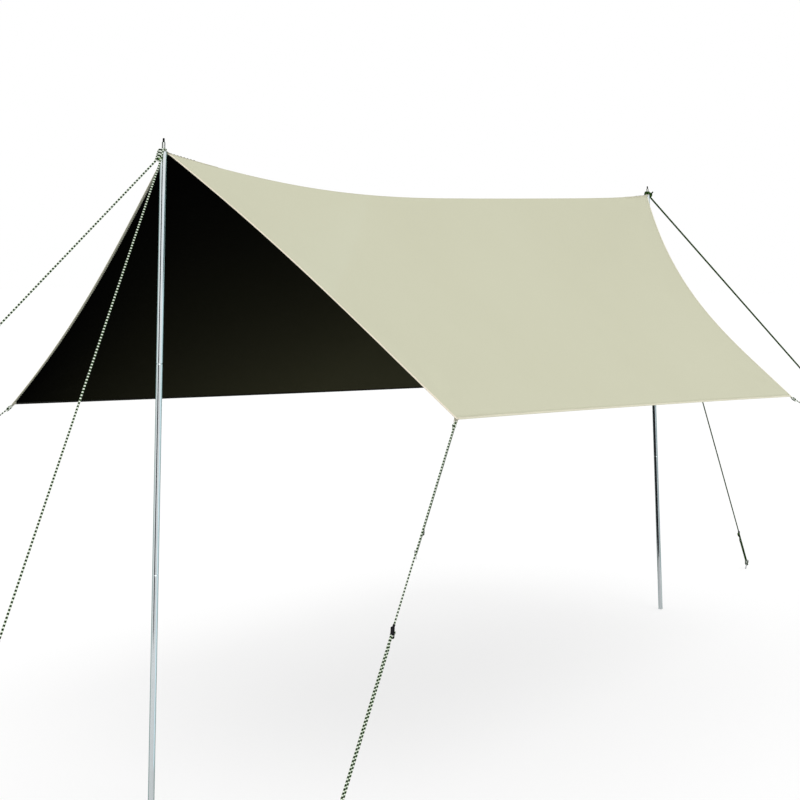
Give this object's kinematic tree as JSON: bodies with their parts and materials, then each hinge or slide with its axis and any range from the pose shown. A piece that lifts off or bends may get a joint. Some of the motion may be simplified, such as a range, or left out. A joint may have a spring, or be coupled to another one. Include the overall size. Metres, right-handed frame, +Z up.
{
  "type": "canopy tent",
  "caption": "Open ridge canopy tent: beige cloth, black underneath, hung between leaning steel poles and held out by guy lines with tensioners and pegs.",
  "frame": {"origin": "centre of the front pole's foot, on the ground", "axes": "+X along the ridge from the front pole to the back pole, +Y to the far side of the picture, +Z up"},
  "size_m": [7.028, 4.1002, 2.0393],
  "materials": {
    "outer_cloth": "matte coated weave, beige outside and black underneath",
    "hem_tape": "cream tape with a row of stitches",
    "webbing": "woven tape",
    "pole_steel": "galvanised tube",
    "spike_steel": "bright, with a darker tip",
    "guy_rope": "braid of black and pale green strands",
    "tensioner_plastic": "black, satin",
    "peg_steel": "zinc plated wire"
  },
  "bodies": {
    "root": {"canopy_near_panel": "outer_cloth", "canopy_far_panel": "outer_cloth", "front_gable_hem": "hem_tape", "back_gable_hem": "hem_tape", "near_eave_hem": "hem_tape", "far_eave_hem": "hem_tape", "front_ridge_tab": "webbing", "back_ridge_tab": "webbing", "front_near_corner_tab": "webbing", "front_far_corner_tab": "webbing", "back_near_corner_tab": "webbing", "back_far_corner_tab": "webbing", "front_pole_lower": "pole_steel", "front_pole_middle": "pole_steel", "front_pole_upper": "pole_steel", "back_pole_lower": "pole_steel", "back_pole_middle": "pole_steel", "back_pole_upper": "pole_steel", "front_pole_spike": "spike_steel", "back_pole_spike": "spike_steel", "front_near_guy": "guy_rope", "front_far_guy": "guy_rope", "back_near_guy": "guy_rope", "back_far_guy": "guy_rope", "front_near_corner_guy": "guy_rope", "front_far_corner_guy": "guy_rope", "back_near_corner_guy": "guy_rope", "back_far_corner_guy": "guy_rope", "front_near_guy_tensioner": "tensioner_plastic", "front_far_guy_tensioner": "tensioner_plastic", "back_near_guy_tensioner": "tensioner_plastic", "back_far_guy_tensioner": "tensioner_plastic", "front_near_corner_guy_tensioner": "tensioner_plastic", "front_far_corner_guy_tensioner": "tensioner_plastic", "back_near_corner_guy_tensioner": "tensioner_plastic", "back_far_corner_guy_tensioner": "tensioner_plastic", "front_near_guy_peg": "peg_steel", "front_far_guy_peg": "peg_steel", "back_near_guy_peg": "peg_steel", "back_far_guy_peg": "peg_steel", "front_near_corner_guy_peg": "peg_steel", "front_far_corner_guy_peg": "peg_steel", "back_near_corner_guy_peg": "peg_steel", "back_far_corner_guy_peg": "peg_steel"}
  },
  "joints": []
}
